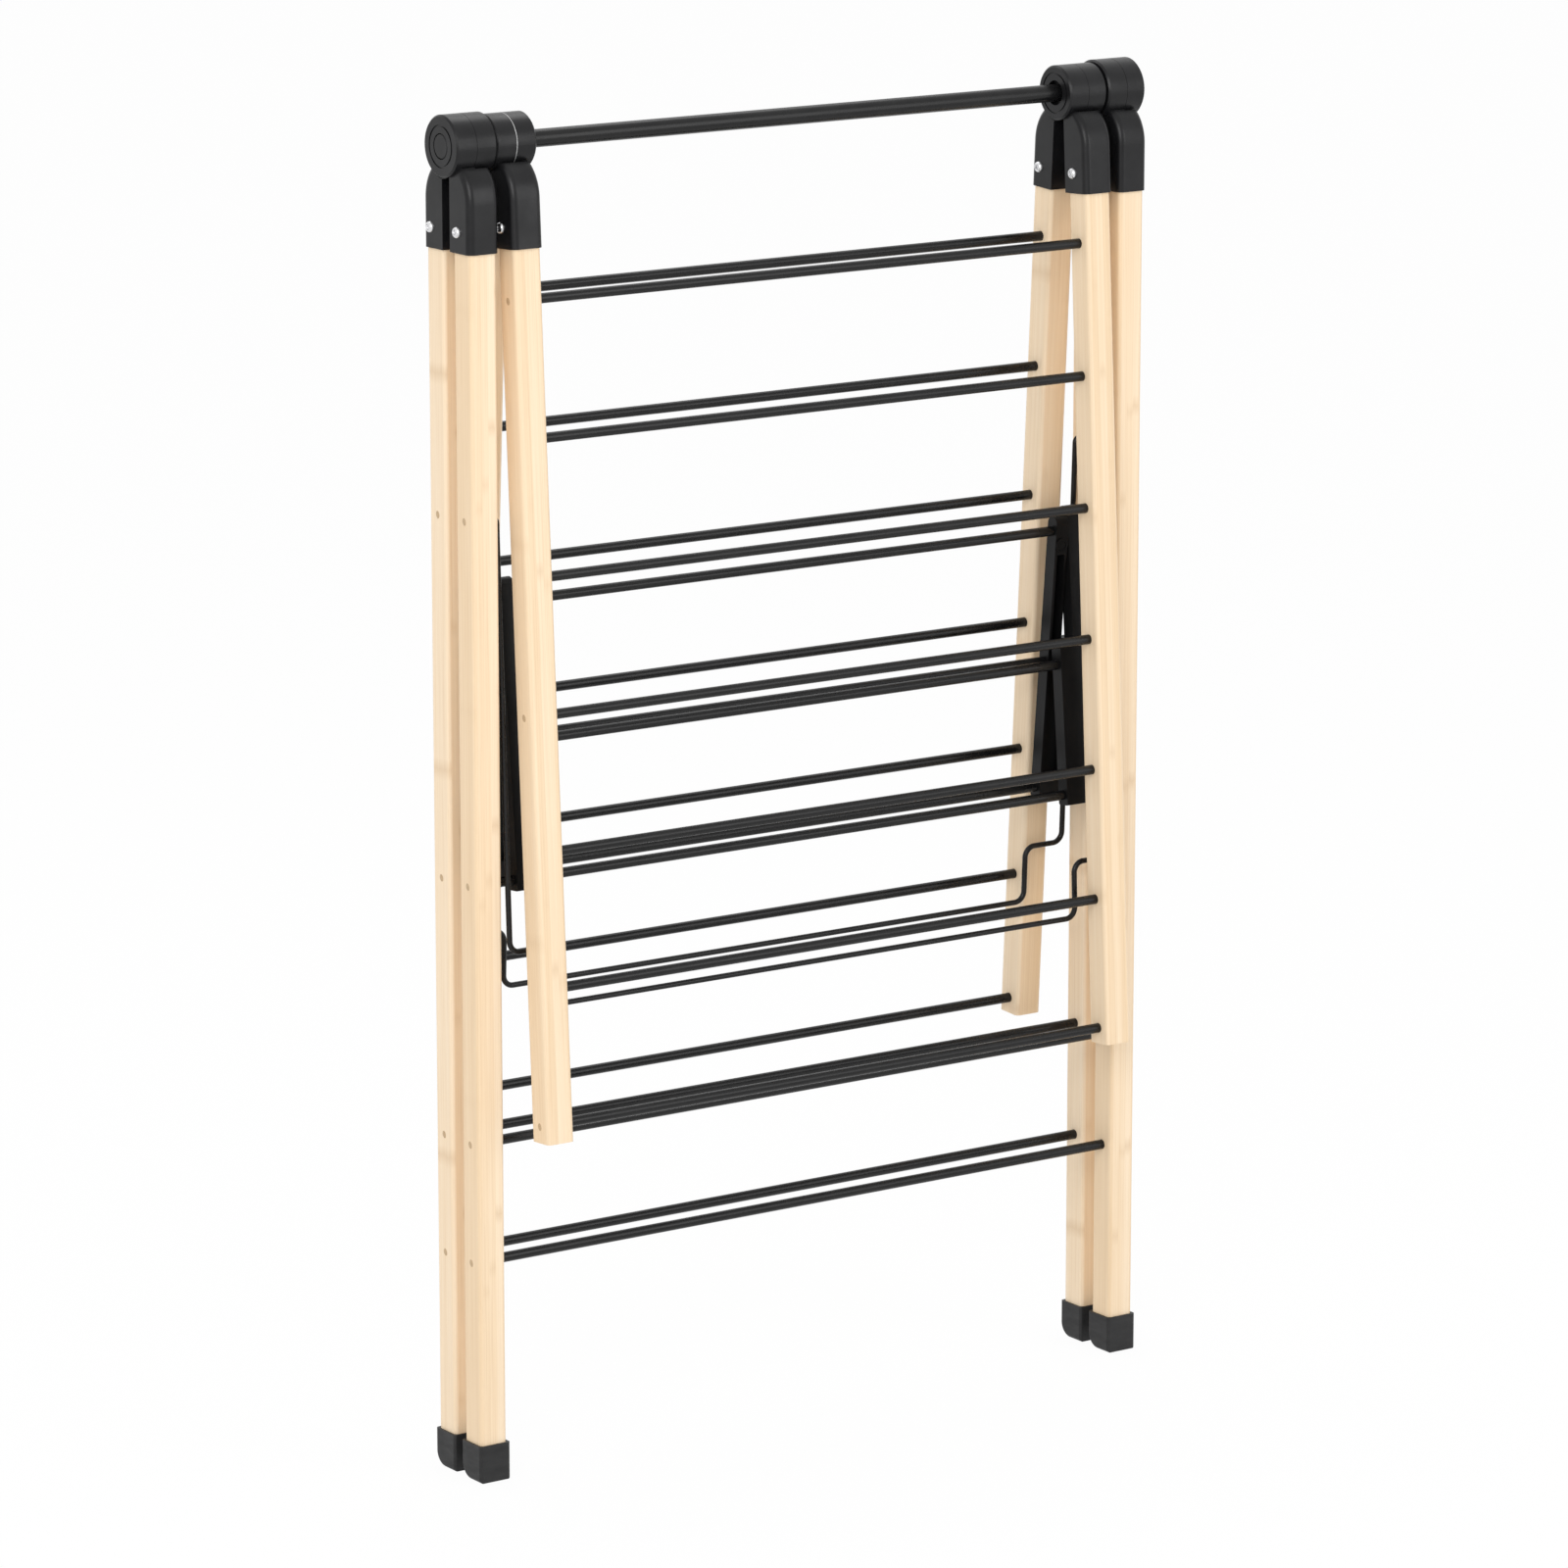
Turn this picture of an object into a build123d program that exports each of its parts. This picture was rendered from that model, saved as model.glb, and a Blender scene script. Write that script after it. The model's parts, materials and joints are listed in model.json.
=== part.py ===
from build123d import *
import math
import os

# A free-standing folding clothes drying rack with two gull wings, folded flat.
# Bamboo legs and wing arms are joined by black steel rods. Eight equal moulded
# hinge caps turn on one long rail at the top, two wire props lift the wings,
# and a shelf that folds in the middle spreads the legs.
# +Z is up, -Y is the front, and the origin is on the floor, midway between the feet.

os.makedirs("parts", exist_ok=True)

# Overall layout, in millimetres
HINGE_Z = 1050.0
LEG_X = 308.0
WING_X = 271.0
LEG_Y = 19.0
WING_TILT = 3.2
FRONT = -1
REAR = 1
LEFT = -1
RIGHT = 1
FACES = {FRONT: "front", REAR: "rear"}
SIDES = {LEFT: "left", RIGHT: "right"}

# Bamboo bars
BAR = 24.0
BAR_EDGE = 3.4
BAR_TOP = 40.0
WING_LENGTH = 775.0

# Steel rods and wire
ROD_R = 4.0
ROD_BORE_R = 3.2
ROD_SEAT = 14.0
SEAT_GAP = 0.05
WIRE_R = 2.25
RUN_GAP = 0.06
SHELF_DROP = 572.0
RAIL_DROPS = {"shelf": SHELF_DROP, "upper": 778.0, "lower": 873.5}
WING_RODS = 7
WING_ROD_FIRST = 120.0
WING_ROD_STEP = 107.0

# Hinge rail, its caps, plugs and washer
RAIL_R = 7.0
RAIL_BORE_R = 5.8
RAIL_HALF = 322.0
LEG_DRUM_R = 24.0
WING_DRUM_R = 22.0
DRUM_HALF = 18.0
KNUCKLE_GAP = 0.3
WASHER_GAP = 1.2
DRUM_RIM = 1.4
DRUM_CLEAR = 2.4
RECESS_R = 10.0
RECESS_DEPTH = 5.0
RING_IN_R = 15.0
RING_OUT_R = 16.6
RING_DEPTH = 0.7
CAP_HALF = 13.8
CAP_BOTTOM = 80.0
CAP_SHOULDER = 42.0
CAP_NECK_Y = 20.0
CAP_NECK_DROP = 15.0
CAP_EDGE = 5.5
SOCKET_EDGE = 3.0
SOCKET_GAP = 0.1
PLUG_R = 9.5
PLUG_EDGE = 1.0
PLUG_STEM = 9.0
WASHER_R = 21.9
WASHER_T = 0.7

# Feet
FOOT = 28.0
FOOT_HEIGHT = 30.0
FOOT_FLOOR = 8.0
FOOT_ROUND = 12.0
FOOT_CORNER = 2.6

# Screws through the hinge caps
SCREW_DROP = 64.0
SCREW_SHIFT = 3.5
SCREW_HEAD_R = 4.5
SCREW_HEAD_H = 2.8
SCREW_DOME = 1.9
SCREW_SHANK_R = 2.0
SCREW_LENGTH = 15.0
SCREW_TIP = 0.5

# Wire props
PROP_DROP = 286.0
PROP_TILT = 2.4
PROP_ARM_X = 291.0
PROP_BAR_X = 254.0
PROP_CRANK = 340.0
PROP_REACH = 386.0
PROP_SEAT = 13.0
PROP_EYE_BEND = 4.0
PROP_BEND = 9.0

# Folding shelf
SHELF_RISE = 205.0
SHELF_REACH = math.hypot(LEG_Y, SHELF_RISE)
STRUT_R = 6.0
STRUT_W = 25.5
STRUT_INNER_X = 253.0
STRUT_WALL = 2.4
STRUT_SKIN = 2.5
STRUT_HEEL = 8.5
STRUT_HEEL_EDGE = 1.5
STRUT_TIP = {FRONT: 24.0, REAR: 17.0}
STRUT_STEP = 125.0
LAP_GAP = 1.0
STRUT_MID = 107.0
STRUT_BLOCK = 13.0
STRUT_SEAT = 7.5
MIDDLE_ROD_PAST = 11.0
PIN_BORE_R = 3.0
PIN_BORE_DEPTH = 8.0
BOSS_R = 5.8
BOSS_H = 1.0
BOSS_RIM = 1.8
BOSS_DISH = 0.6


def hinge_frame(face, x=0.0, tilt=0.0):
    """Frame on the hinge line whose -Y points away from the middle of the rack."""
    turn = 180 if face == REAR else 0
    at_hinge = Location((x, 0, HINGE_Z), (face * tilt, 0, 0))
    return at_hinge * Location((0, 0, 0), (0, 0, turn))


def inward(face, side):
    """Sign of the local X that points to the middle of the rack."""
    return side * face


def plane_in(frame, origin=(0, 0, 0), z_dir=(0, 0, 1), x_dir=None):
    """A plane given in a frame's own coordinates."""
    plane = Plane(origin=origin, x_dir=x_dir, z_dir=z_dir)
    return Plane(frame * plane.location)


def side_plane(frame, x=0.0):
    """A plane across X with Y to the right and Z up, in a frame's own coordinates."""
    return plane_in(frame, (x, 0, 0), (1, 0, 0), (0, 1, 0))


def screw_plane(frame, out, x):
    """The plane across a cap's screw, x from the middle of the bar on the side that out names."""
    return plane_in(frame, (out * x, -LEG_Y - out * SCREW_SHIFT, -SCREW_DROP), (out, 0, 0))


def save(piece, name):
    piece.label = name
    export_step(piece, f"parts/{name}.step")


def bamboo_bar(frame, inner, out, drop, rod_drops, wire_drops=()):
    """A square bar with rounded edges, blind holes in its inner side and a screw's pilot hole."""
    with BuildPart() as bar:
        with BuildSketch(plane_in(frame, (0, -LEG_Y, -drop))):
            RectangleRounded(BAR, BAR, BAR_EDGE)
        extrude(amount=drop - BAR_TOP)
        holes = [(z, ROD_R + SEAT_GAP) for z in rod_drops]
        holes += [(z, WIRE_R + RUN_GAP) for z in wire_drops]
        for z, radius in holes:
            with BuildSketch(plane_in(frame, (inner * BAR / 2, -LEG_Y, -z), (inner, 0, 0))):
                Circle(radius)
            extrude(amount=-ROD_SEAT, mode=Mode.SUBTRACT)
        with BuildSketch(screw_plane(frame, out, CAP_HALF)):
            Circle(SCREW_SHANK_R + SEAT_GAP)
        extrude(amount=-SCREW_LENGTH - SCREW_TIP, mode=Mode.SUBTRACT)
    return bar.part


def tube(frame, half, drop, y=-LEG_Y, radius=ROD_R, bore=ROD_BORE_R):
    """A straight steel tube along X."""
    with BuildPart() as rod:
        with BuildSketch(plane_in(frame, (-half, y, -drop), (1, 0, 0))):
            Circle(radius)
            Circle(bore, mode=Mode.SUBTRACT)
        extrude(amount=2 * half)
    return rod.part


def hinge_cap(frame, out, drum_r, gap):
    """A moulded socket for a bar, with a knuckle on the -X half of its drum."""
    knuckle = DRUM_HALF - gap / 2
    front = -LEG_Y - CAP_HALF
    back = -LEG_Y + CAP_HALF
    with BuildPart() as cap:
        with BuildSketch(side_plane(frame)):
            with BuildLine():
                wall = Line((front, -CAP_BOTTOM), (front, -CAP_SHOULDER))
                neck = (-CAP_NECK_Y, -CAP_NECK_DROP)
                TangentArc(wall @ 1, neck, tangent=(0, 1))
                Polyline(neck, (back, -CAP_NECK_DROP), (back, -CAP_BOTTOM), wall @ 0)
            make_face()
        extrude(amount=CAP_HALF, both=True)
        # Round the two long edges of the outer wall, up over the bottle-shaped shoulder
        tall = cap.edges().filter_by(Axis.X, reverse=True).filter_by(Axis.Y, reverse=True)
        outer = [e for e in tall if (frame.inverse() * e).center().Y < -LEG_Y]
        fillet(outer, CAP_EDGE)
        # Room for the neighbour's knuckle on the other half of the drum
        with BuildSketch(side_plane(frame, -gap / 2)):
            Circle(drum_r + DRUM_CLEAR)
        extrude(amount=2 * DRUM_HALF, mode=Mode.SUBTRACT)
        with BuildSketch(side_plane(frame, -DRUM_HALF)):
            Circle(drum_r - DRUM_RIM)
        with BuildSketch(side_plane(frame, -DRUM_HALF + DRUM_RIM)):
            Circle(drum_r)
        loft()
        with BuildSketch(side_plane(frame, -DRUM_HALF + DRUM_RIM)):
            Circle(drum_r)
        extrude(amount=knuckle - DRUM_RIM)
        # Socket for the bar, bore for the rail and the recess in the drum's end
        with BuildSketch(plane_in(frame, (0, -LEG_Y, -CAP_BOTTOM))):
            RectangleRounded(BAR + 2 * SOCKET_GAP, BAR + 2 * SOCKET_GAP, SOCKET_EDGE)
        extrude(amount=CAP_BOTTOM - BAR_TOP, mode=Mode.SUBTRACT)
        with BuildSketch(side_plane(frame, -DRUM_HALF)):
            Circle(RAIL_R + RUN_GAP)
        extrude(amount=2 * DRUM_HALF, mode=Mode.SUBTRACT)
        with BuildSketch(side_plane(frame, -DRUM_HALF)):
            Circle(RECESS_R)
        extrude(amount=RECESS_DEPTH, mode=Mode.SUBTRACT)
        with BuildSketch(side_plane(frame, -DRUM_HALF)):
            Circle(RING_OUT_R)
            Circle(RING_IN_R, mode=Mode.SUBTRACT)
        extrude(amount=RING_DEPTH, mode=Mode.SUBTRACT)
        with BuildSketch(screw_plane(frame, out, CAP_HALF)):
            Circle(SCREW_SHANK_R + SEAT_GAP)
        extrude(amount=-CAP_HALF, mode=Mode.SUBTRACT)
    return cap.part


def foot(frame, round_side):
    """A boot for a leg's end, with a large radius along the edge that it rolls on."""
    with BuildPart() as boot:
        with BuildSketch(side_plane(frame, -FOOT / 2)):
            with Locations((-LEG_Y, -HINGE_Z + FOOT_HEIGHT / 2)):
                Rectangle(FOOT, FOOT_HEIGHT)
            low = vertices().group_by(Axis.Y)[0].sort_by(Axis.X)[::round_side]
            fillet(low[-1], FOOT_ROUND)
        extrude(amount=FOOT)
        uprights = boot.edges().filter_by(Axis.Z)
        fillet(uprights, FOOT_CORNER)
        with BuildSketch(plane_in(frame, (0, -LEG_Y, -HINGE_Z + FOOT_FLOOR))):
            RectangleRounded(BAR + 2 * SOCKET_GAP, BAR + 2 * SOCKET_GAP, SOCKET_EDGE)
        extrude(amount=FOOT_HEIGHT, mode=Mode.SUBTRACT)
    return boot.part


def screw(frame, out):
    """A pan-head screw through a cap's wall into the bar."""
    with BuildPart() as pan:
        with BuildSketch(screw_plane(frame, out, CAP_HALF)):
            Circle(SCREW_HEAD_R)
        extrude(amount=SCREW_HEAD_H)
        rims = pan.edges().filter_by(GeomType.CIRCLE).sort_by(Axis.X)
        fillet(rims[0], SCREW_DOME)
        with BuildSketch(screw_plane(frame, out, CAP_HALF)):
            Circle(SCREW_SHANK_R)
        extrude(amount=-SCREW_LENGTH)
    return pan.part


def plug(side):
    """The round cover in the end of the hinge rail."""
    end = plane_in(Location((0, 0, HINGE_Z)), (side * RAIL_HALF, 0, 0), (side, 0, 0))
    drum_end = LEG_X + DRUM_HALF - RAIL_HALF
    with BuildPart() as cover:
        with BuildSketch(end):
            Circle(PLUG_R)
        extrude(amount=drum_end)
        rim = cover.edges().filter_by(GeomType.CIRCLE).sort_by(Axis.X)[::side][-1]
        fillet(rim, PLUG_EDGE)
        with BuildSketch(end):
            Circle(RAIL_BORE_R - SEAT_GAP)
        extrude(amount=-PLUG_STEM)
    return cover.part


def washer():
    """The steel washer between the two knuckles of the left wing drum."""
    with BuildPart() as ring:
        with BuildSketch(side_plane(hinge_frame(FRONT, -WING_X), -WASHER_T / 2)):
            Circle(WASHER_R)
            Circle(RAIL_R + RUN_GAP, mode=Mode.SUBTRACT)
        extrude(amount=WASHER_T)
    return ring.part


def prop(face):
    """A wire bail that hangs in the legs, cranked inward so that its bar fits between the wing arms."""
    hang = hinge_frame(face) * Location((0, -LEG_Y, -PROP_DROP), (-PROP_TILT, 0, 0))
    eye = LEG_X - BAR / 2 + PROP_SEAT
    half = [
        (eye, 0, 0),
        (PROP_ARM_X, 0, 0),
        (PROP_ARM_X, 0, -PROP_CRANK),
        (PROP_BAR_X, 0, -PROP_CRANK),
        (PROP_BAR_X, 0, -PROP_REACH),
    ]
    route = half + [(-x, y, z) for x, y, z in reversed(half)]
    bends = [PROP_EYE_BEND, PROP_BEND, PROP_BEND, PROP_BEND]
    points = [hang * Pos(*p) for p in route]
    with BuildPart() as wire:
        with BuildLine() as path:
            FilletPolyline(*[p.position for p in points], radius=bends + bends[::-1])
        with BuildSketch(plane_in(hang, (eye, 0, 0), (-1, 0, 0))):
            Circle(WIRE_R)
        sweep(path=path.wires()[0])
    return wire.part


def shelf_frame(face):
    """Frame on a shelf half's rail, with +Z along the half towards the pin of the middle joint."""
    lean = math.degrees(math.atan2(LEG_Y, SHELF_RISE))
    return hinge_frame(face) * Location((0, -LEG_Y, -SHELF_DROP), (-lean, 0, 0))


def strut(face, side):
    """A moulded link, hollow on the side that faces the other half, with half its width left at the tip."""
    frame = shelf_frame(face)
    inner = inward(face, side)
    mouth = -inner * STRUT_INNER_X
    middle = mouth - inner * STRUT_W / 2
    # The rear tips take the inner half of the width and the front tips the outer half
    lap = (STRUT_W - LAP_GAP) / 2
    to_pin = inner if face == FRONT else -inner
    tip_middle = middle - to_pin * (STRUT_W - lap) / 2
    tip = SHELF_REACH + STRUT_TIP[face]
    bays = ((middle, STRUT_W, STRUT_R + STRUT_WALL, STRUT_MID - STRUT_BLOCK / 2),
            (tip_middle, lap, STRUT_MID + STRUT_BLOCK / 2, SHELF_REACH - STRUT_R - STRUT_WALL))
    with BuildPart() as link:
        with BuildSketch(side_plane(frame, middle)):
            with Locations((0, STRUT_STEP / 2)):
                Rectangle(2 * STRUT_R, STRUT_STEP)
            # A square heel below the rail
            with Locations((0, (STRUT_R - STRUT_HEEL) / 2)):
                RectangleRounded(2 * STRUT_R, STRUT_R + STRUT_HEEL, STRUT_HEEL_EDGE)
        extrude(amount=STRUT_W / 2, both=True)
        with BuildSketch(side_plane(frame, tip_middle)):
            with Locations((0, tip / 2)):
                SlotCenterToCenter(tip, 2 * STRUT_R, rotation=90)
        extrude(amount=lap / 2, both=True)
        # Hollows below and above the rod's block
        for across, width, low, high in bays:
            with BuildSketch(plane_in(frame, (across, STRUT_R, (low + high) / 2), (0, 1, 0), (1, 0, 0))):
                Rectangle(width - 2 * STRUT_WALL, high - low)
            extrude(amount=STRUT_SKIN - 2 * STRUT_R, mode=Mode.SUBTRACT)
        # Round boss with a dished face at the height of the pin
        with BuildSketch(plane_in(frame, (tip_middle, STRUT_R, SHELF_REACH), (0, 1, 0), (1, 0, 0))):
            Circle(BOSS_R)
        extrude(amount=BOSS_H)
        face_of_boss = (tip_middle, STRUT_R + BOSS_H, SHELF_REACH)
        with BuildSketch(plane_in(frame, face_of_boss, (0, 1, 0), (1, 0, 0))):
            Circle(BOSS_R - BOSS_RIM)
        extrude(amount=-BOSS_DISH, mode=Mode.SUBTRACT)
        # Bore for the rail, seats for the rods, and the middle joint's pin bore
        with BuildSketch(side_plane(frame, middle)):
            Circle(ROD_R + RUN_GAP)
        extrude(amount=STRUT_W, both=True, mode=Mode.SUBTRACT)
        seats = [STRUT_MID]
        if face == REAR:
            seats.append(SHELF_REACH + MIDDLE_ROD_PAST)
        with BuildSketch(side_plane(frame, mouth)):
            with Locations(*[(0, z) for z in seats]):
                Circle(ROD_R + SEAT_GAP)
        extrude(amount=-inner * STRUT_SEAT, mode=Mode.SUBTRACT)
        with BuildSketch(side_plane(frame, tip_middle + to_pin * lap / 2)):
            with Locations((0, SHELF_REACH)):
                Circle(PIN_BORE_R)
        extrude(amount=-to_pin * PIN_BORE_DEPTH, mode=Mode.SUBTRACT)
    return link.part


# Leg frames
for face, face_name in FACES.items():
    for side, side_name in SIDES.items():
        frame = hinge_frame(face, side * LEG_X)
        drop = HINGE_Z - FOOT_FLOOR
        leg = bamboo_bar(frame, inward(face, side), face, drop, RAIL_DROPS.values(), [PROP_DROP])
        save(leg, f"{face_name}_{side_name}_leg")
        save(hinge_cap(frame, face, LEG_DRUM_R, KNUCKLE_GAP), f"{face_name}_{side_name}_leg_cap")
        save(foot(frame, -face), f"{face_name}_{side_name}_foot")
    for rail_name, drop in RAIL_DROPS.items():
        half = LEG_X - BAR / 2 + ROD_SEAT
        save(tube(hinge_frame(face), half, drop), f"{face_name}_{rail_name}_rail")

# Wings
for face, face_name in FACES.items():
    drops = [WING_ROD_FIRST + i * WING_ROD_STEP for i in range(WING_RODS)]
    for side, side_name in SIDES.items():
        frame = hinge_frame(face, side * WING_X, WING_TILT)
        arm = bamboo_bar(frame, inward(face, side), face, WING_LENGTH, drops)
        save(arm, f"{face_name}_wing_{side_name}_arm")
        gap = WASHER_GAP if side == LEFT else KNUCKLE_GAP
        save(hinge_cap(frame, face, WING_DRUM_R, gap), f"{face_name}_wing_{side_name}_cap")
    half = WING_X - BAR / 2 + ROD_SEAT
    for number, drop in enumerate(drops, 1):
        rod = tube(hinge_frame(face, tilt=WING_TILT), half, drop)
        save(rod, f"{face_name}_wing_rod_{number}")

# Screws in the left-hand wall of every hinge cap
for face, face_name in FACES.items():
    for group, x, tilt in (("leg", LEG_X, 0), ("wing", WING_X, WING_TILT)):
        pair = [screw(hinge_frame(face, side * x, tilt), face) for side in SIDES]
        save(Compound(children=pair), f"{face_name}_{group}_screws")

# Hinge rail
rail_frame = Location((0, 0, HINGE_Z))
save(tube(rail_frame, RAIL_HALF, 0, 0, RAIL_R, RAIL_BORE_R), "hinge_rail")
save(washer(), "hinge_washer")
for side, side_name in SIDES.items():
    save(plug(side), f"{side_name}_rail_plug")

# Wire props and the folding shelf
for face, face_name in FACES.items():
    save(prop(face), f"{face_name}_wing_prop")
    for side, side_name in SIDES.items():
        save(strut(face, side), f"{face_name}_shelf_{side_name}_strut")
    half = STRUT_INNER_X + STRUT_SEAT
    save(tube(shelf_frame(face), half, -STRUT_MID, 0), f"{face_name}_shelf_rod")
middle_half = STRUT_INNER_X + STRUT_SEAT
middle_drop = -SHELF_REACH - MIDDLE_ROD_PAST
save(tube(shelf_frame(REAR), middle_half, middle_drop, 0), "shelf_middle_rod")
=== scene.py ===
"""Looks of a folding bamboo and steel clothes airer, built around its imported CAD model."""

import json
import math

import bmesh
import bpy
from mathutils import Matrix, Vector


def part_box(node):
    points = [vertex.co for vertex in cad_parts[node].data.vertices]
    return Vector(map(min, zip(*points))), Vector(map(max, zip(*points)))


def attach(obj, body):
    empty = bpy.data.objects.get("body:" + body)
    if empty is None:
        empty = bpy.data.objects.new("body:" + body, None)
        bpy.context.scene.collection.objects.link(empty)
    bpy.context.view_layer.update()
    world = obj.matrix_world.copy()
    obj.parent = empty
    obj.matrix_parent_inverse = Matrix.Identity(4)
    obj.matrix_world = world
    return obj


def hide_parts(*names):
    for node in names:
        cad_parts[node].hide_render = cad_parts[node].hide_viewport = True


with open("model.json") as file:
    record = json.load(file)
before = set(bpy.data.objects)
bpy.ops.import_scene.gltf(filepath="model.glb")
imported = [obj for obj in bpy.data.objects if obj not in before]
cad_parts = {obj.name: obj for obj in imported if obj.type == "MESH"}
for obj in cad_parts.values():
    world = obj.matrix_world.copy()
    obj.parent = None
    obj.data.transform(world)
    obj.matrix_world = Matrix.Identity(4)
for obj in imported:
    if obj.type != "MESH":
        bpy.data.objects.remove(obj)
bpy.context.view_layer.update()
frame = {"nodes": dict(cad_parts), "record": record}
nodes = frame["nodes"]
slot_of = {s["node"]: s["material_slot"] for s in frame["record"]["subparts"]}
scene = bpy.context.scene

# Lengths are in metres, as in the CAD
WING_TILT = math.radians(3.2)
WIRE_R = 0.00225

# Bamboo bars are glued from strips, and each strip has the joints of its cane
STRIP_WIDE = 0.006
STRIP_DEEP = 0.026
CANE_PITCH = 0.31
JOINT_REACH = 0.028
FIBRE_SCALE = (1700, 1700, 9)
STREAK_SCALE = (330, 330, 2.2)
CLOUD_SCALE = (28, 28, 5)
TONE_SHARE = 0.34
STREAK_SHARE = 0.40
CLOUD_SHARE = 0.26
BAMBOO_TONES = [
    (0.22, (0.80, 0.60, 0.385)),
    (0.46, (0.858, 0.672, 0.462)),
    (0.62, (0.893, 0.722, 0.523)),
    (0.80, (0.912, 0.757, 0.573)),
]
FIBRE_TONES = [(0.32, (0.86, 0.80, 0.72)), (0.52, (1.0, 1.0, 1.0))]
FIBRE_SHARE = 0.55
JOINT_COLOUR = (0.60, 0.40, 0.22)
JOINT_SHARE = 0.42

# The range of a noise that a material's tone and gloss are spread over
NOISE_LOW = 0.3
NOISE_HIGH = 0.7

# Cap screws
HEAD_R = 0.0045
HEAD_H = 0.0028
HEAD_FLAT = 0.42
DOME_STEPS = 7
SHANK_R = 0.002
RECESS_ARM = 0.0026
RECESS_WIDTH = 0.0010
RECESS_DEPTH = 0.0017
RECESS_FLARE = 1.15
RECESS_FOOT_ARM = 0.55
RECESS_FOOT_WIDTH = 0.7
CUTTER_PAST = 0.001
SCREW_SIDES = 40
SCREW_TURNS = (0.3, 0.9, 1.2, 0.1, 0.6, 1.4, 0.2, 0.75)

# Spots of filler over the brads, as half sizes
SPOT_WIDE = 0.0023
SPOT_TALL = 0.0030
SPOT_TURN = math.radians(24.0)
SPOT_ROOT = -0.0003
SPOT_RIM = 0.00005
SPOT_PROUD = 0.0002
SPOT_CROWN = 0.00023
SPOT_TOP_SHARE = 0.72
SPOT_SIDES = 14
SPOT_RODS = (1, 4, 7)

# Studio
FLOOR_HALF = 40.0
FLOOR_Z = -0.0002
FLOOR_COLOUR = (0.93, 0.93, 0.93)
FLOOR_WHITE = 0.95
WORLD_STRENGTH = 0.75
LAMP_AIM = Vector((0.0, 0.0, 0.55))
# Name, place, width and height, watts
SOFTBOXES = (
    ("key_softbox", (-2.35, -2.2, 2.2), (1.6, 1.8), 42),
    ("fill_softbox", (1.5, -3.0, 1.6), (1.4, 2.0), 20),
    ("top_softbox", (0.4, 1.2, 3.0), (2.4, 1.2), 15),
)

# Camera, fitted to the photograph's rod and leg lines
CAMERA_TARGET = Vector((-0.0104, 0.0, 0.5169))
CAMERA_AZIMUTH = math.radians(-34.67)
CAMERA_ELEVATION = math.radians(12.51)
CAMERA_DISTANCE = 5.7393
CAMERA_LENS = 165.6
CAMERA_SENSOR = 36.0
CAMERA_CLIP = 200.0


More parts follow.
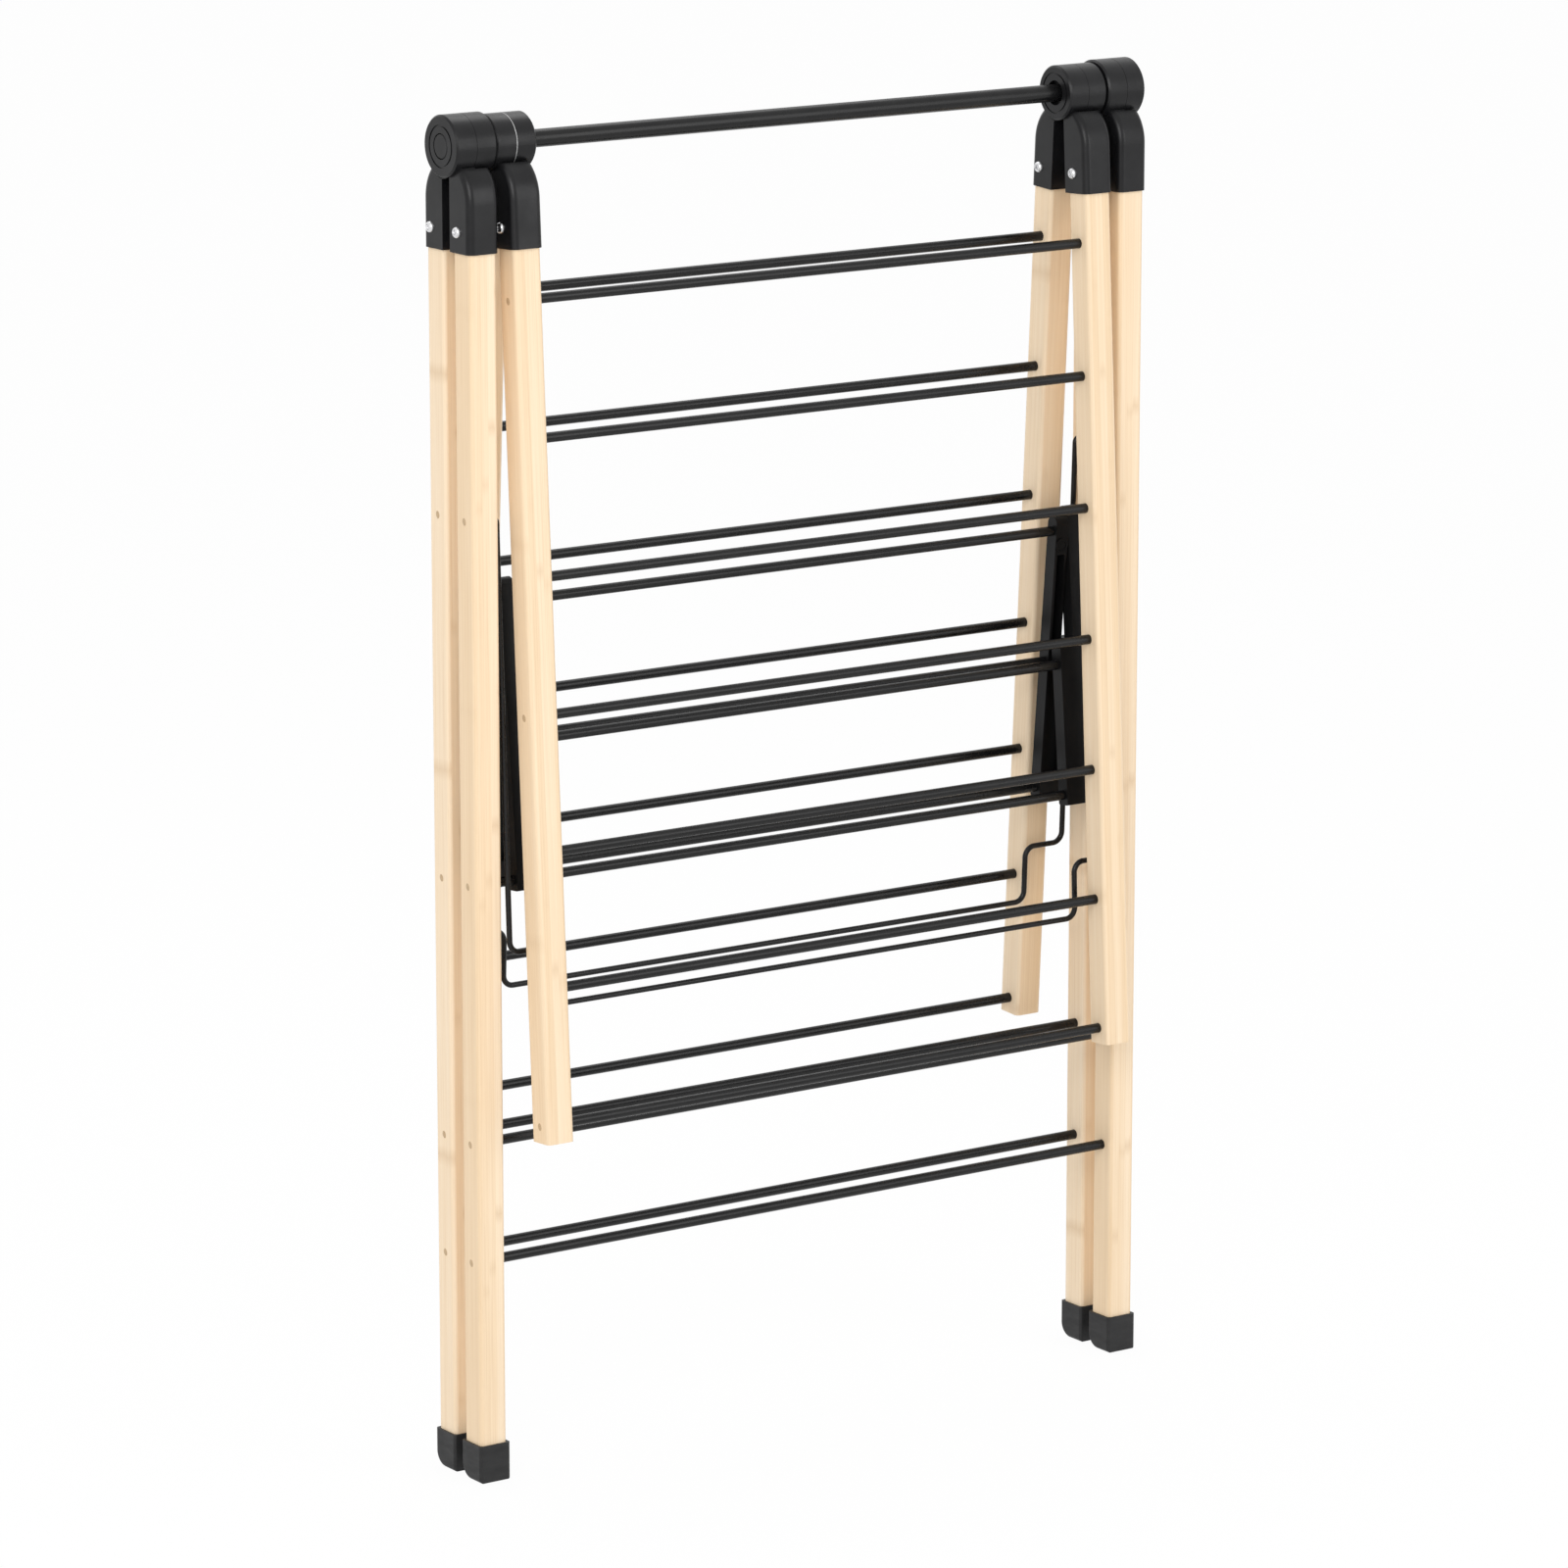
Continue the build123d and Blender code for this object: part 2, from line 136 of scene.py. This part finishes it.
class Graph:
    """Short names for adding and joining shader nodes."""

    def __init__(self, name):
        self.material = bpy.data.materials.new(name)
        self.material.use_nodes = True
        self.tree = self.material.node_tree
        self.shader = self.tree.nodes["Principled BSDF"]
        self.coords = self.add("ShaderNodeTexCoord").outputs["Object"]

    def add(self, kind, **values):
        node = self.tree.nodes.new(kind)
        for key, value in values.items():
            setattr(node, key, value)
        return node

    def feed(self, socket, value):
        """Links an output to the socket, or sets a plain value on it."""
        if isinstance(value, bpy.types.NodeSocket):
            self.tree.links.new(value, socket)
        else:
            socket.default_value = value

    def mapping(self, scale=(1, 1, 1), location=(0, 0, 0), rotation=(0, 0, 0), vector=None):
        node = self.add("ShaderNodeMapping")
        self.feed(node.inputs["Vector"], vector or self.coords)
        node.inputs["Location"].default_value = location
        node.inputs["Rotation"].default_value = rotation
        node.inputs["Scale"].default_value = scale
        return node.outputs["Vector"]

    def noise(self, vector, scale=1.0, detail=3.0, roughness=0.55):
        node = self.add("ShaderNodeTexNoise")
        self.feed(node.inputs["Vector"], vector)
        node.inputs["Scale"].default_value = scale
        node.inputs["Detail"].default_value = detail
        node.inputs["Roughness"].default_value = roughness
        return node.outputs["Fac"]

    def white(self, vector):
        """One random value for each different vector."""
        node = self.add("ShaderNodeTexWhiteNoise", noise_dimensions="3D")
        self.feed(node.inputs["Vector"], vector)
        return node.outputs["Value"]

    def math(self, operation, a, b=0.0, c=0.0):
        node = self.add("ShaderNodeMath", operation=operation)
        for socket, value in zip(node.inputs, (a, b, c)):
            self.feed(socket, value)
        return node.outputs[0]

    def split(self, vector):
        node = self.add("ShaderNodeSeparateXYZ")
        self.feed(node.inputs[0], vector)
        return node.outputs

    def join(self, x, y, z):
        node = self.add("ShaderNodeCombineXYZ")
        for socket, value in zip(node.inputs, (x, y, z)):
            self.feed(socket, value)
        return node.outputs[0]

    def ramp(self, value, stops):
        """stops are (position, colour) pairs."""
        node = self.add("ShaderNodeValToRGB")
        self.feed(node.inputs[0], value)
        elements = node.color_ramp.elements
        while len(elements) < len(stops):
            elements.new(0.5)
        for element, (position, colour) in zip(elements, stops):
            element.position = position
            element.color = (*colour, 1.0)
        return node.outputs[0]

    def level(self, value, low, high, to_low, to_high):
        node = self.add("ShaderNodeMapRange")
        for socket, v in zip(node.inputs, (value, low, high, to_low, to_high)):
            self.feed(socket, v)
        return node.outputs[0]

    def tones(self, noise, dark, light):
        return self.ramp(noise, [(NOISE_LOW, dark), (NOISE_HIGH, light)])

    def spread(self, noise, to_low, to_high):
        return self.level(noise, NOISE_LOW, NOISE_HIGH, to_low, to_high)

    def mix(self, amount, a, b, blend="MIX"):
        node = self.add("ShaderNodeMix", data_type="RGBA", blend_type=blend)
        self.feed(node.inputs["Factor"], amount)
        for socket, value in ((node.inputs[6], a), (node.inputs[7], b)):
            self.feed(socket, (*value, 1.0) if isinstance(value, tuple) else value)
        return node.outputs[2]

    def bump(self, height, strength, distance):
        node = self.add("ShaderNodeBump")
        self.feed(node.inputs["Height"], height)
        node.inputs["Strength"].default_value = strength
        node.inputs["Distance"].default_value = distance
        self.tree.links.new(node.outputs["Normal"], self.shader.inputs["Normal"])

    def set(self, **values):
        """Feeds the shader's sockets, with _ for the spaces in their names."""
        for key, value in values.items():
            self.feed(self.shader.inputs[key.replace("_", " ")], value)


def bamboo(name, centre, tilt, seed):
    """Laminated strips with fibres, soft bands of tone and the darker joints of the cane."""
    g = Graph(name)
    # Coordinates of the bar: u and v across it from its middle, w along it
    shift = g.add("ShaderNodeVectorMath", operation="SUBTRACT")
    g.feed(shift.inputs[0], g.coords)
    shift.inputs[1].default_value = centre
    along = g.mapping(rotation=(-tilt, 0, 0), vector=shift.outputs[0])
    u, v, w = g.split(along)
    # The seed moves the pattern, so that no two bars are alike
    strip_u = g.math("FLOOR", g.math("MULTIPLY_ADD", u, 1 / STRIP_WIDE, 0.5 + 20 * seed))
    strip_v = g.math("FLOOR", g.math("MULTIPLY_ADD", v, 1 / STRIP_DEEP, 0.5 + 7 * seed))
    tone = g.white(g.join(strip_u, strip_v, float(seed)))
    # Fine fibres and wider streaks, both drawn out along the bar
    offset = (3.1 * seed, 1.7 * seed, 0.9 * seed)
    fibres = g.noise(g.mapping(FIBRE_SCALE, offset, vector=along), detail=4)
    streaks = g.noise(g.mapping(STREAK_SCALE, offset, vector=along), detail=3)
    clouds = g.noise(g.mapping(CLOUD_SCALE, offset, vector=along), detail=2)
    # The joints of the cane, at their own height in each strip
    phase = g.math("MULTIPLY", g.white(g.join(strip_v, strip_u, 3.0 + seed)), 5.0)
    wave = g.math("MULTIPLY", streaks, 0.02)
    turns = g.math("MULTIPLY_ADD", w, 1 / CANE_PITCH, g.math("ADD", phase, wave))
    to_joint = g.math("ABSOLUTE", g.math("SUBTRACT", g.math("FRACT", turns), 0.5))
    joint = g.level(to_joint, 0.0, JOINT_REACH, 1.0, 0.0)
    joint = g.math("MULTIPLY", joint, g.level(tone, 0.2, 0.9, 0.15, 0.9))
    mixed = g.math("MULTIPLY", tone, TONE_SHARE)
    mixed = g.math("ADD", mixed, g.math("MULTIPLY", streaks, STREAK_SHARE))
    mixed = g.math("ADD", mixed, g.math("MULTIPLY", clouds, CLOUD_SHARE))
    base = g.mix(FIBRE_SHARE, g.ramp(mixed, BAMBOO_TONES), g.ramp(fibres, FIBRE_TONES), "MULTIPLY")
    base = g.mix(g.math("MULTIPLY", joint, JOINT_SHARE), base, JOINT_COLOUR)
    g.set(Base_Color=base, Specular_IOR_Level=0.24, Coat_Weight=0.06, Coat_Roughness=0.35)
    g.set(Roughness=g.spread(fibres, 0.52, 0.40))
    g.bump(g.math("ADD", fibres, g.math("MULTIPLY", joint, -0.6)), 0.12, 0.0003)
    return g.material


def powder_coat():
    """Satin black powder coat with a slight orange peel."""
    g = Graph("black_powder_coat")
    peel = g.noise(g.coords, 900, 2)
    dust = g.noise(g.coords, 60, 3)
    g.set(Base_Color=g.tones(dust, (0.0045, 0.0045, 0.0048), (0.0085, 0.0085, 0.0088)))
    g.set(Roughness=g.spread(dust, 0.23, 0.32), Specular_IOR_Level=0.28)
    g.bump(peel, 0.05, 0.0002)
    return g.material


def moulded_plastic():
    """Black moulded plastic with a fine spark-eroded texture and faint rubbed patches."""
    g = Graph("black_moulded_plastic")
    grain = g.noise(g.coords, 2600, 2, 0.6)
    rubbed = g.noise(g.coords, 45, 3)
    g.set(Base_Color=g.tones(rubbed, (0.005, 0.005, 0.0058), (0.0105, 0.0105, 0.0115)))
    g.set(Roughness=g.spread(rubbed, 0.36, 0.28), Specular_IOR_Level=0.27)
    g.bump(grain, 0.14, 0.0002)
    return g.material


def foot_plastic_painted_floor_light():
    """Black soft plastic of the feet, duller than the caps, and a little greyer as painted light
    from the bright floor below.
    """
    g = Graph("black_foot_plastic")
    grain = g.noise(g.coords, 1400, 3, 0.6)
    scuffs = g.noise(g.mapping((60, 60, 180)), detail=3)
    # Partly painted light: the lighter base colour stands in for light bounced up from the floor
    g.set(Base_Color=g.tones(scuffs, (0.013, 0.013, 0.0135), (0.021, 0.021, 0.0215)))
    g.set(Roughness=g.spread(scuffs, 0.54, 0.44), Specular_IOR_Level=0.32)
    g.bump(grain, 0.2, 0.0002)
    return g.material


def strut_plastic_painted_shade():
    """Smooth black plastic of the shelf's struts, made darker and less glossy than the caps'
    plastic: painted shade for the shadowed place where the struts stand.
    """
    g = Graph("deep_black_plastic")
    grain = g.noise(g.coords, 1800, 2, 0.6)
    flow = g.noise(g.mapping((90, 90, 25)), detail=3)
    # Painted shade: the low base colour and specular level darken the struts as if they were in
    # shadow
    g.set(Base_Color=g.tones(flow, (0.004, 0.004, 0.0042), (0.0075, 0.0075, 0.0078)))
    g.set(Roughness=g.spread(flow, 0.44, 0.34), Specular_IOR_Level=0.15)
    g.bump(grain, 0.12, 0.0002)
    return g.material


def zinc():
    """Bright zinc plate, slightly uneven."""
    g = Graph("bright_zinc")
    patches = g.noise(g.coords, 700, 3)
    fine = g.noise(g.coords, 4000, 2)
    g.set(Base_Color=g.tones(patches, (0.66, 0.66, 0.67), (0.83, 0.83, 0.84)))
    g.set(Roughness=g.spread(patches, 0.34, 0.22), Metallic=1.0)
    g.bump(fine, 0.06, 0.0001)
    return g.material


def washer_steel():
    """Dull rolled steel, lightly brushed round."""
    g = Graph("dull_steel")
    patches = g.noise(g.coords, 300, 3)
    fine = g.noise(g.mapping((200, 6000, 6000)), detail=2)
    g.set(Base_Color=g.tones(patches, (0.45, 0.45, 0.45), (0.57, 0.57, 0.57)))
    g.set(Roughness=g.spread(patches, 0.66, 0.56), Metallic=1.0)
    g.bump(fine, 0.06, 0.0001)
    return g.material


def filler():
    """Brown wood filler over the brads."""
    g = Graph("brad_filler")
    specks = g.noise(g.coords, 1500, 3)
    g.set(Base_Color=g.tones(specks, (0.44, 0.30, 0.17), (0.62, 0.46, 0.29)), Roughness=0.75)
    g.bump(specks, 0.4, 0.0003)
    return g.material


def dress(obj, material):
    obj.data.materials.clear()
    obj.data.materials.append(material)


def add_object(name, bm):
    """An object in the scene from a finished bmesh."""
    mesh = bpy.data.meshes.new(name)
    bm.to_mesh(mesh)
    bm.free()
    obj = bpy.data.objects.new(name, mesh)
    scene.collection.objects.link(obj)
    return obj


def mesh_piece(name, bm, material, body):
    bm.normal_update()
    piece = add_object(name, bm)
    piece.data.materials.append(material)
    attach(piece, body)
    return piece


def shade_smooth(obj, degrees=30.0):
    """Smooth faces, with edges sharper than this left crisp."""
    obj.data.shade_smooth()
    bm = bmesh.new()
    bm.from_mesh(obj.data)
    limit = math.radians(degrees)
    for edge in bm.edges:
        if len(edge.link_faces) == 2:
            edge.smooth = edge.calc_face_angle(0.0) < limit
    bm.to_mesh(obj.data)
    bm.free()


def middle(name):
    low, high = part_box(name)
    return (low + high) / 2


# Materials on the CAD nodes
bright = zinc()
brown = filler()
finishes = {
    "black_steel": powder_coat(),
    "black_plastic": moulded_plastic(),
    "zinc_steel": bright,
    # The struts get the black plastic with painted shade
    "strut": strut_plastic_painted_shade(),
    "foot": foot_plastic_painted_floor_light(),
    "washer": washer_steel(),
}
bars = sorted(n for n in nodes if slot_of[n] == "bamboo")
for seed, name in enumerate(bars, 1):
    turn = 0.0
    if "wing" in name:
        turn = -WING_TILT if name.startswith("front") else WING_TILT
    dress(nodes[name], bamboo(f"bamboo_{name}", middle(name), turn, seed))
for name in nodes:
    if name not in bars:
        own = [word for word in ("strut", "foot", "washer") if word in name]
        dress(nodes[name], finishes[own[0] if own else slot_of[name]])


def revolve(profile):
    """A closed body turned about X from (x, radius) points, the first and last on the axis."""
    bm = bmesh.new()
    rings = []
    angles = [2 * math.pi * i / SCREW_SIDES for i in range(SCREW_SIDES)]
    for x, r in profile[1:-1]:
        rings.append([bm.verts.new((x, r * math.cos(a), r * math.sin(a))) for a in angles])
    first = bm.verts.new((profile[0][0], 0, 0))
    last = bm.verts.new((profile[-1][0], 0, 0))
    for i in range(SCREW_SIDES):
        j = (i + 1) % SCREW_SIDES
        bm.faces.new((first, rings[0][j], rings[0][i]))
        bm.faces.new((last, rings[-1][i], rings[-1][j]))
        for a, b in zip(rings, rings[1:]):
            bm.faces.new((a[i], a[j], b[j], b[i]))
    bmesh.ops.recalc_face_normals(bm, faces=bm.faces)
    return bm


def cross_cutter():
    """Two crossed wedges that cut the recess of a screw head."""
    bm = bmesh.new()
    top = -HEAD_H - CUTTER_PAST
    foot = -HEAD_H + RECESS_DEPTH
    corners = ((-1, -1), (1, -1), (1, 1), (-1, 1))
    for y, z in ((RECESS_ARM, RECESS_WIDTH), (RECESS_WIDTH, RECESS_ARM)):
        upper = []
        lower = []
        for a, b in corners:
            upper.append(bm.verts.new((top, a * y * RECESS_FLARE, b * z * RECESS_FLARE)))
            lower.append(bm.verts.new((foot, a * y * RECESS_FOOT_ARM, b * z * RECESS_FOOT_WIDTH)))
        bm.faces.new(upper)
        bm.faces.new(lower[::-1])
        for i in range(4):
            j = (i + 1) % 4
            bm.faces.new((upper[i], lower[i], lower[j], upper[j]))
    bmesh.ops.recalc_face_normals(bm, faces=bm.faces)
    return bm


def screw_mesh(shank):
    """One screw along X: the head stands to -X of the origin, the shank goes to +X."""
    profile = [(-HEAD_H, 0.0)]
    for step in range(DOME_STEPS + 1):
        t = math.pi / 2 * step / DOME_STEPS
        radius = HEAD_R * (HEAD_FLAT + (1 - HEAD_FLAT) * math.sin(t))
        profile.append((-HEAD_H * math.cos(t), radius))
    profile += [(0.0, SHANK_R), (shank, SHANK_R), (shank, 0.0)]
    blank = add_object("screw_blank", revolve(profile))
    cutter = add_object("cross_cutter", cross_cutter())
    cut = blank.modifiers.new("recess", "BOOLEAN")
    cut.object = cutter
    cut.operation = "DIFFERENCE"
    cut.solver = "EXACT"
    cut.use_self = True
    bpy.context.view_layer.update()
    depsgraph = bpy.context.evaluated_depsgraph_get()
    shaped = bpy.data.meshes.new_from_object(blank.evaluated_get(depsgraph))
    for obj in (blank, cutter):
        bpy.data.objects.remove(obj)
    return shaped


def islands(obj):
    """The corners of the box around each separate body in a mesh, from left to right."""
    bm = bmesh.new()
    bm.from_mesh(obj.data)
    bmesh.ops.remove_doubles(bm, verts=bm.verts, dist=1e-6)
    left = set(bm.verts)
    found = []
    while left:
        todo = [left.pop()]
        group = []
        while todo:
            vert = todo.pop()
            group.append(vert.co.copy())
            for edge in vert.link_edges:
                other = edge.other_vert(vert)
                if other in left:
                    left.remove(other)
                    todo.append(other)
        found.append([Vector(f(p[i] for p in group) for i in range(3)) for f in (min, max)])
    bm.free()
    return sorted(found, key=lambda corners: corners[0].x)


# Screws: pan heads with a cross recess, in place of the plain CAD ones
screw_turns = iter(SCREW_TURNS)
for name in ("front_leg_screws", "rear_leg_screws", "front_wing_screws", "rear_wing_screws"):
    group = bmesh.new()
    for low, high in islands(nodes[name]):
        axis = (low + high) / 2
        pattern = screw_mesh(high.x - low.x - HEAD_H)
        place = Matrix.Translation((low.x + HEAD_H, axis.y, axis.z))
        pattern.transform(place @ Matrix.Rotation(next(screw_turns), 4, "X"))
        group.from_mesh(pattern)
    body = name.replace("_leg_screws", "_frame").replace("_screws", "")
    piece = mesh_piece(f"{name}_crosshead", group, bright, body)
    shade_smooth(piece)
    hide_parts(name)


def add_spot(bm, centre, side):
    """A low oval dome on a bar's outer face."""
    lean = Matrix.Rotation(-SPOT_TURN, 3, "X")
    rings = []
    for share, lift in ((1.0, SPOT_ROOT), (1.0, SPOT_RIM), (SPOT_TOP_SHARE, SPOT_PROUD)):
        ring = []
        for i in range(SPOT_SIDES):
            a = 2 * math.pi * i / SPOT_SIDES
            y = share * SPOT_WIDE * math.cos(a)
            z = share * SPOT_TALL * math.sin(a)
            ring.append(bm.verts.new(centre + lean @ Vector((side * lift, y, z))))
        rings.append(ring)
    tip = bm.verts.new(centre + Vector((side * SPOT_CROWN, 0, 0)))
    root = bm.verts.new(centre + Vector((side * SPOT_ROOT, 0, 0)))
    for i in range(SPOT_SIDES):
        j = (i + 1) % SPOT_SIDES
        for a, b in zip(rings, rings[1:]):
            bm.faces.new((a[i], a[j], b[j], b[i]))
        bm.faces.new((rings[-1][i], rings[-1][j], tip))
        bm.faces.new((rings[0][j], rings[0][i], root))


# Brads that pin the rods and the props' eyes, under spots of filler on the outer faces of the bars
for face in ("front", "rear"):
    rails = [middle(f"{face}_{r}_rail") for r in ("shelf", "upper", "lower")]
    prop_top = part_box(f"{face}_wing_prop")[1]
    rails.append(Vector((0, rails[0].y, prop_top.z - WIRE_R)))
    rods = [middle(f"{face}_wing_rod_{k}") for k in SPOT_RODS]
    for kind, spots, body in (("leg", rails, f"{face}_frame"), ("wing", rods, f"{face}_wing")):
        bm = bmesh.new()
        for label, side in (("left", -1), ("right", 1)):
            bar = f"{face}_{label}_leg" if kind == "leg" else f"{face}_wing_{label}_arm"
            low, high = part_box(bar)
            outer = low.x if side < 0 else high.x
            for spot in spots:
                add_spot(bm, Vector((outer, spot.y, spot.z)), side)
        bmesh.ops.recalc_face_normals(bm, faces=bm.faces)
        piece = mesh_piece(f"{face}_{kind}_brads", bm, brown, body)
        shade_smooth(piece, 50)

# Floor: seen as near white, with a faint shadow of the object
floor_bm = bmesh.new()
bmesh.ops.create_grid(floor_bm, x_segments=1, y_segments=1, size=FLOOR_HALF)
floor = add_object("floor", floor_bm)
floor.location.z = FLOOR_Z
g = Graph("pale_floor")
g.set(Base_Color=(*FLOOR_COLOUR, 1.0), Roughness=0.9, Specular_IOR_Level=0.1)
rays = g.add("ShaderNodeLightPath").outputs
direct = g.math("MAXIMUM", rays["Is Camera Ray"], rays["Is Glossy Ray"])
direct = g.math("MAXIMUM", direct, rays["Is Transmission Ray"])
blend = g.add("ShaderNodeMixShader")
g.feed(blend.inputs[0], g.math("MULTIPLY", direct, FLOOR_WHITE))
g.feed(blend.inputs[1], g.shader.outputs[0])
g.feed(blend.inputs[2], g.add("ShaderNodeEmission").outputs[0])
g.feed(g.tree.nodes["Material Output"].inputs["Surface"], blend.outputs[0])
floor.data.materials.append(g.material)

# World: white where it is seen, softer where it lights
world = bpy.data.worlds.new("studio")
scene.world = world
world.use_nodes = True
sky = world.node_tree
paths = sky.nodes.new("ShaderNodeLightPath")
backdrop = sky.nodes["Background"]
backdrop.inputs["Color"].default_value = (1.0, 1.0, 1.0, 1.0)
seen = paths.outputs["Is Camera Ray"]
for ray in ("Is Glossy Ray", "Is Transmission Ray"):
    either = sky.nodes.new("ShaderNodeMath")
    either.operation = "MAXIMUM"
    sky.links.new(seen, either.inputs[0])
    sky.links.new(paths.outputs[ray], either.inputs[1])
    seen = either.outputs[0]
strength = sky.nodes.new("ShaderNodeMapRange")
strength.inputs["To Min"].default_value = WORLD_STRENGTH
strength.inputs["To Max"].default_value = 1.0
sky.links.new(seen, strength.inputs["Value"])
sky.links.new(strength.outputs[0], backdrop.inputs["Strength"])

for name, position, size, watts in SOFTBOXES:
    light = bpy.data.lights.new(name, "AREA")
    light.shape = "RECTANGLE"
    light.size, light.size_y = size
    light.energy = watts
    lamp = bpy.data.objects.new(name, light)
    lamp.location = position
    lamp.rotation_euler = (LAMP_AIM - Vector(position)).to_track_quat("-Z", "Y").to_euler()
    scene.collection.objects.link(lamp)

camera_data = bpy.data.cameras.new("camera")
camera_data.sensor_width = CAMERA_SENSOR
camera_data.lens = CAMERA_LENS
camera_data.clip_end = CAMERA_CLIP
camera = bpy.data.objects.new("camera", camera_data)
away = Vector((
    math.sin(CAMERA_AZIMUTH) * math.cos(CAMERA_ELEVATION),
    -math.cos(CAMERA_AZIMUTH) * math.cos(CAMERA_ELEVATION),
    math.sin(CAMERA_ELEVATION),
))
camera.location = CAMERA_TARGET + away * CAMERA_DISTANCE
camera.rotation_euler = (-away).to_track_quat("-Z", "Y").to_euler()
scene.collection.objects.link(camera)
scene.camera = camera
scene.view_settings.view_transform = "Standard"
